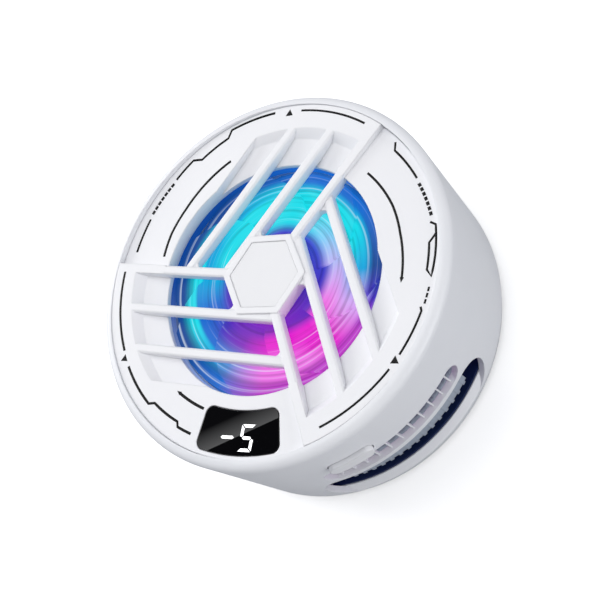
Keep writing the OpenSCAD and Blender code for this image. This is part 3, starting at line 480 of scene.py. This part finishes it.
def lit_by_fan(name, low, high, patch, rough, strength, edge):
    """A moulding that gives off the fan's light: rings of colour round its axis with thin bright streaks."""
    lamp = {"IOR": 1.58, "Specular IOR Level": 0.12, "Emission Strength": strength}
    made = finish(name, low, high, patch, rough, 0.3, 0.003, edge, sockets=lamp)
    tree = made.node_tree
    place = add(tree, "ShaderNodeTexCoord").outputs["Object"]
    flat = add(tree, "ShaderNodeVectorMath", {0: place, 1: (1, 1, 0)}, operation="MULTIPLY").outputs[0]
    span = add(tree, "ShaderNodeVectorMath", {0: flat}, operation="LENGTH").outputs["Value"]
    reach = add(tree, "ShaderNodeMath", {0: span, 1: FAN_R * MM}, operation="DIVIDE").outputs[0]
    axes = add(tree, "ShaderNodeSeparateXYZ", {0: flat}).outputs
    heading = add(tree, "ShaderNodeMath", {0: axes[1], 1: axes[0]}, operation="ARCTAN2").outputs[0]
    turn = add(
        tree, "ShaderNodeMapRange", {"Value": heading, "From Min": -math.pi, "From Max": math.pi}
    ).outputs[0]

    shade = linear(GLOW["indigo"])
    for begin, full, colours in GLOW_RINGS:
        ramp = add(tree, "ShaderNodeValToRGB", {0: turn})
        stops = ramp.color_ramp.elements
        for words in colours.split(","):
            colour, angle = words.split()
            at = (float(angle) + 180) / 360
            stop = stops[0] if at == 0 else stops[-1] if at == 1 else stops.new(at)
            stop.color = linear(GLOW[colour])
        share = add(
            tree,
            "ShaderNodeMapRange",
            {"Value": reach, "From Min": begin, "From Max": full},
            interpolation_type="SMOOTHSTEP",
        ).outputs[0]
        shade = add(
            tree, "ShaderNodeMix", {0: share, 6: shade, 7: ramp.outputs[0]}, data_type="RGBA"
        ).outputs[2]

    course = add(tree, "ShaderNodeVectorMath", {0: flat}, operation="NORMALIZE").outputs[0]
    around = add(
        tree, "ShaderNodeVectorMath", {0: course, 1: (STREAK_ROUND, STREAK_ROUND, 0)}, operation="MULTIPLY"
    ).outputs[0]
    height = add(tree, "ShaderNodeMath", {0: reach, 1: STREAK_CELLS}, operation="MULTIPLY").outputs[0]
    upward = add(tree, "ShaderNodeCombineXYZ", {"Z": height}).outputs[0]
    track = add(tree, "ShaderNodeVectorMath", {0: around, 1: upward}, operation="ADD").outputs[0]
    noise = add(
        tree, "ShaderNodeTexNoise", {"Vector": track, "Scale": 1.0, "Detail": 1.0, "Roughness": 0.5}
    ).outputs["Fac"]
    outside = add(
        tree,
        "ShaderNodeMapRange",
        {"Value": reach, "From Min": STREAK_BEGINS, "From Max": STREAK_FULL, "To Max": STREAK_SHARE},
    ).outputs[0]
    streak = add(
        tree,
        "ShaderNodeMapRange",
        {"Value": noise, "From Min": STREAK_NOISE[0], "From Max": STREAK_NOISE[1], "To Max": outside},
        interpolation_type="SMOOTHSTEP",
    ).outputs[0]
    dim = add(
        tree,
        "ShaderNodeMapRange",
        {"Value": noise, "From Min": DIM_NOISE[0], "From Max": DIM_NOISE[1], "To Min": DIM_SHARE},
        interpolation_type="SMOOTHSTEP",
    ).outputs[0]
    bright = add(
        tree, "ShaderNodeMix", {0: streak, 6: shade, 7: linear(STREAK_COLOUR)}, data_type="RGBA"
    ).outputs[2]
    final = add(tree, "ShaderNodeVectorMath", {0: bright, "Scale": dim}, operation="SCALE").outputs[0]
    tree.links.new(final, tree.nodes["Principled BSDF"].inputs["Emission Color"])
    return made


# Moulded polycarbonate of the blades: almost black by itself, so its colours are the lamps' light, painted
# into its glow
FINISHES["impeller"] = lit_by_fan("lit_polycarbonate_blades", "#070B20", "#0A0F2A", 4, (0.4, 0.5), 1.0, 0.15)
# Frosted polycarbonate of the light ring: blue, with a fainter glow
FINISHES["light_ring"] = lit_by_fan("frosted_light_guide", "#1A2C6C", "#223880", 4, (0.4, 0.5), 0.8, 0.2)
# Moulded PBT of the fan frame: navy, with the blades' light on it painted into its glow
FINISHES["fan_frame"] = lit_by_fan("pbt_frame_painted_glow", "#060B2A", "#0B1440", 6, (0.32, 0.44), 0.7, 0.2)

for entry in frame["record"]["subparts"]:
    solid = frame["nodes"][entry["node"]]
    if not solid.material_slots:
        solid.data.materials.append(None)
    for holder in solid.material_slots:
        holder.material = FINISHES[entry["material_slot"]]

# Ink of the face: pad printed black, a thin even film with a soft gloss
INK = finish(
    "pad_printed_ink",
    "#0A0A0B",
    "#101012",
    1.0,
    (0.45, 0.55),
    0.2,
    0.002,
    sockets={"Specular IOR Level": 0.12},
)
INK_T = 0.04


def grown(name, points, edges, group, sizes, body):
    """Runs a node group on a mesh of points and edges and keeps the result as a plain piece on that body."""
    base = bpy.data.meshes.new(name + "_path")
    base.from_pydata(points, edges, [])
    seed = show(name + "_path", base)
    grow = seed.modifiers.new("grow", "NODES")
    grow.node_group = group
    for item in group.interface.items_tree:
        if item.in_out == "INPUT" and item.name in sizes:
            grow[item.identifier] = sizes[item.name]
    result = bpy.data.meshes.new_from_object(seed.evaluated_get(bpy.context.evaluated_depsgraph_get()))
    result.name = name
    bpy.data.objects.remove(seed)
    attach(show(name, result), body)


def new_group(name, inputs):
    """An empty geometry tree with those inputs, and its input node."""
    group = bpy.data.node_groups.new(name, "GeometryNodeTree")
    group.interface.new_socket("Geometry", in_out="INPUT", socket_type="NodeSocketGeometry")
    for label, kind in inputs:
        group.interface.new_socket(label, in_out="INPUT", socket_type=kind)
    group.interface.new_socket("Geometry", in_out="OUTPUT", socket_type="NodeSocketGeometry")
    return group, add(group, "NodeGroupInput")


# A line of ink: a flat ribbon that follows the path with its width across the face
line_tree, start = new_group(
    "ink_line",
    (
        ("Width", "NodeSocketFloat"),
        ("Thickness", "NodeSocketFloat"),
        ("Ink", "NodeSocketMaterial"),
    ),
)
route = add(line_tree, "GeometryNodeMeshToCurve", {"Mesh": start.outputs["Geometry"]})
level = add(line_tree, "GeometryNodeSetCurveNormal", {"Curve": route.outputs[0]}, mode="Z_UP")
ribbon = add(
    line_tree,
    "GeometryNodeCurvePrimitiveQuadrilateral",
    {"Width": start.outputs["Width"], "Height": start.outputs["Thickness"]},
)
film = add(
    line_tree,
    "GeometryNodeCurveToMesh",
    {"Curve": level.outputs[0], "Profile Curve": ribbon.outputs[0], "Fill Caps": True},
)
kept = add(line_tree, "GeometryNodeRealizeInstances", {"Geometry": film.outputs[0]})
inked = add(
    line_tree, "GeometryNodeSetMaterial", {"Geometry": kept.outputs[0], "Material": start.outputs["Ink"]}
)
add(line_tree, "NodeGroupOutput", {"Geometry": inked.outputs[0]})

ARC_STEP = 1.5


def ink_lines(name, width, lines):
    """Prints lines given as corners (angle, radius over the print circle), with arcs between them."""
    points, edges = [], []
    for corners in lines:
        first = len(points)
        for (a0, r0), (a1, r1) in zip(corners, corners[1:]):
            count = max(1, round(abs(a1 - a0) / ARC_STEP))
            for i in range(count):
                t = i / count
                points.append(face_point(a0 + (a1 - a0) * t, PRINT_R * (r0 + (r1 - r0) * t)))
        points.append(face_point(corners[-1][0], PRINT_R * corners[-1][1]))
        edges += [(i, i + 1) for i in range(first, len(points) - 1)]
    sizes = {"Width": width * MM, "Thickness": INK_T * MM, "Ink": INK}
    grown(name, points, edges, line_tree, sizes, "housing")


# The right half of the face is printed in finer lines than the left
ink_lines(
    "left_outer_lines",
    0.48,
    (
        ((95.7, 1.022), (112.9, 1.025), (115.0, 0.983), (127.3, 0.967), (130.2, 1.009), (139.2, 0.998)),
        ((155.9, 0.985), (168.8, 0.976)),
        ((177.0, 0.989), (206.9, 0.982)),
        ((213.2, 0.985), (230.1, 0.984), (231.9, 0.954), (244.2, 0.945), (245.4, 0.968), (251.4, 0.966)),
    ),
)
ink_lines(
    "right_outer_lines",
    0.39,
    (
        ((59.4, 1.008), (85.5, 1.012)),
        ((-59.8, 0.992), (-32.8, 1.007)),
        ((-27.8, 1.008), (-13.7, 1.010), (-12.5, 0.998)),
        (
            (14.6, 1.0),
            (13.3, 1.028),
            (3.7, 1.021),
            (-3.0, 1.013),
            (-0.9, 0.983),
            (7.9, 0.986),
            (10.4, 1.024),
        ),
        ((46.8, 1.025), (44.6, 0.990), (30.9, 1.001)),
    ),
)
ink_lines(
    "left_inner_arcs",
    0.52,
    (
        ((116.5, 0.821), (137.5, 0.790), (145.0, 0.780), (157.5, 0.773), (168.7, 0.754)),
        ((252.1, 0.812), (238.6, 0.811)),
    ),
)
ink_lines("right_inner_arc", 0.42, [((45.8, 0.800), (26.0, 0.823), (13.8, 0.829), (-3.9, 0.850))])


def dash_row(count, first, pitch, arc, radius, rise=0.0):
    """Short arcs in a row, by angles in degrees and radii over the print circle; each climbs by rise."""
    row = []
    for i in range(count):
        angle = first + pitch * i
        begin = radius + rise * i
        row.append(((angle, begin), (angle + arc, begin + rise)))
    return row


ink_lines("left_print_dashes", 0.62, dash_row(7, first=140.8, pitch=1.95, arc=1.5, radius=0.991))
ink_lines(
    "right_print_dashes",
    0.56,
    dash_row(7, first=28.9, pitch=-1.83, arc=-1.3, radius=0.998, rise=0.002),
)
ink_lines("small_print_dashes", 0.36, dash_row(3, first=-11.4, pitch=1.9, arc=1.4, radius=1.013))

# Printed marks: prisms with that many corners, set on points to face outwards and turned from there by Lead
mark_tree, start = new_group(
    "ink_mark",
    (
        ("Corners", "NodeSocketInt"),
        ("Size", "NodeSocketVector"),
        ("Lead", "NodeSocketFloat"),
        ("Ink", "NodeSocketMaterial"),
    ),
)
prism = add(
    mark_tree,
    "GeometryNodeMeshCylinder",
    {"Vertices": start.outputs["Corners"], "Radius": 1.0, "Depth": 1.0},
)
spot = add(mark_tree, "GeometryNodeInputPosition")
axes = add(mark_tree, "ShaderNodeSeparateXYZ", {0: spot.outputs[0]}).outputs
bearing = add(mark_tree, "ShaderNodeMath", {0: axes[1], 1: axes[0]}, operation="ARCTAN2")
facing = add(mark_tree, "ShaderNodeMath", {0: bearing.outputs[0], 1: start.outputs["Lead"]}, operation="ADD")
turned_to = add(mark_tree, "ShaderNodeCombineXYZ", {"Z": facing.outputs[0]})
marks = add(
    mark_tree,
    "GeometryNodeInstanceOnPoints",
    {
        "Points": start.outputs["Geometry"],
        "Instance": prism.outputs["Mesh"],
        "Rotation": turned_to.outputs[0],
        "Scale": start.outputs["Size"],
    },
)
kept = add(mark_tree, "GeometryNodeRealizeInstances", {"Geometry": marks.outputs[0]})
inked = add(
    mark_tree, "GeometryNodeSetMaterial", {"Geometry": kept.outputs[0], "Material": start.outputs["Ink"]}
)
add(mark_tree, "NodeGroupOutput", {"Geometry": inked.outputs[0]})

TRIANGLE = 3
TRIANGLE_SIZE = (0.85, 0.85, INK_T)
ARROW_SIZE = (0.62, 0.42, INK_T)
CLOCKWISE = -90


def ink_marks(name, corners, size, lead, spots):
    """Prints a mark at each spot (angle, radius over the print circle); lead is its turn from outwards."""
    points = [face_point(a, PRINT_R * r) for a, r in spots]
    sizes = {"Corners": corners, "Size": [s * MM for s in size], "Lead": math.radians(lead), "Ink": INK}
    grown(name, points, [], mark_tree, sizes, "housing")


ink_marks("print_triangles", TRIANGLE, TRIANGLE_SIZE, 0, [(90, 1.0), (209.7, 0.995), (-30.0, 1.005)])
ink_marks("right_arrow_head", TRIANGLE, ARROW_SIZE, CLOCKWISE, [(-4.2, 0.850)])
ink_marks("left_arrow_head", TRIANGLE, ARROW_SIZE, CLOCKWISE, [(237.9, 0.811)])


# Reading: lit segments, drawn in the face of the smoked window, where their light shows
# Light emitting film: an even white
GLOWING = {"Emission Color": linear("#FFFFFF"), "Emission Strength": 1.0}
LIT = finish("lit_segment", "#F4F6FA", "#FFFFFF", 0.6, (0.3, 0.4), 0.2, 0.0, sockets=GLOWING)

SEGMENT_T = 0.03
SLANT = 0.05


def segment(mesh, corners):
    """A lit segment on the window, by its corners in mm from the window's own middle, anticlockwise."""
    rings = []
    for lift in (-SEGMENT_T, SEGMENT_T):
        ring = []
        for x, y in corners:
            across = x + SLANT * y
            up = y - WINDOW_R
            angle = math.degrees(math.atan2(up, across)) % 360
            ring.append(mesh.verts.new(face_point(angle, math.hypot(across, up), lift)))
        rings.append(ring)
    low, high = rings
    mesh.faces.new(high)
    mesh.faces.new(low[::-1])
    for i in range(len(low)):
        j = (i + 1) % len(low)
        mesh.faces.new((low[i], low[j], high[j], high[i]))


# The minus sign, and a five whose segments meet in mitres with a hairline between them; sizes in mm
BAR_W = 0.52
HALF = BAR_W / 2
HAIR = 0.15
MINUS_LEFT = -3.3
MINUS_RIGHT = -0.8
MINUS_TIP = 0.3
LEFT = 0.42
RIGHT = 2.92
LOW = -3.0
MIDDLE = -0.75
TOP = 1.5
SEGMENTS = {
    "minus": (
        (MINUS_LEFT, MIDDLE),
        (MINUS_LEFT + MINUS_TIP, MIDDLE - HALF),
        (MINUS_RIGHT - MINUS_TIP, MIDDLE - HALF),
        (MINUS_RIGHT, MIDDLE),
        (MINUS_RIGHT - MINUS_TIP, MIDDLE + HALF),
        (MINUS_LEFT + MINUS_TIP, MIDDLE + HALF),
    ),
    "top": (
        (LEFT + HAIR, TOP),
        (LEFT + HAIR + BAR_W, TOP - BAR_W),
        (RIGHT - BAR_W, TOP - BAR_W),
        (RIGHT, TOP),
    ),
    "upper_left": (
        (LEFT, TOP - HAIR),
        (LEFT, MIDDLE + HALF),
        (LEFT + HALF, MIDDLE + HAIR),
        (LEFT + BAR_W, MIDDLE + HALF + HAIR),
        (LEFT + BAR_W, TOP - BAR_W - HAIR),
    ),
    "middle": (
        (LEFT + HALF + HAIR, MIDDLE),
        (LEFT + BAR_W + HAIR, MIDDLE - HALF),
        (RIGHT - BAR_W - HAIR, MIDDLE - HALF),
        (RIGHT - HALF - HAIR, MIDDLE),
        (RIGHT - BAR_W - HAIR, MIDDLE + HALF),
        (LEFT + BAR_W + HAIR, MIDDLE + HALF),
    ),
    "lower_right": (
        (RIGHT, LOW + HAIR),
        (RIGHT, MIDDLE - HALF),
        (RIGHT - HALF, MIDDLE - HAIR),
        (RIGHT - BAR_W, MIDDLE - HALF - HAIR),
        (RIGHT - BAR_W, LOW + BAR_W + HAIR),
    ),
    "bottom": (
        (LEFT, LOW),
        (RIGHT - HAIR, LOW),
        (RIGHT - HAIR - BAR_W, LOW + BAR_W),
        (LEFT + BAR_W, LOW + BAR_W),
    ),
}
digits = bmesh.new()
for corners in SEGMENTS.values():
    segment(digits, corners)
reading_mesh = bpy.data.meshes.new("reading_segments")
digits.to_mesh(reading_mesh)
digits.free()
reading_mesh.materials.append(LIT)
reading = show("reading_segments", reading_mesh)
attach(reading, "housing")
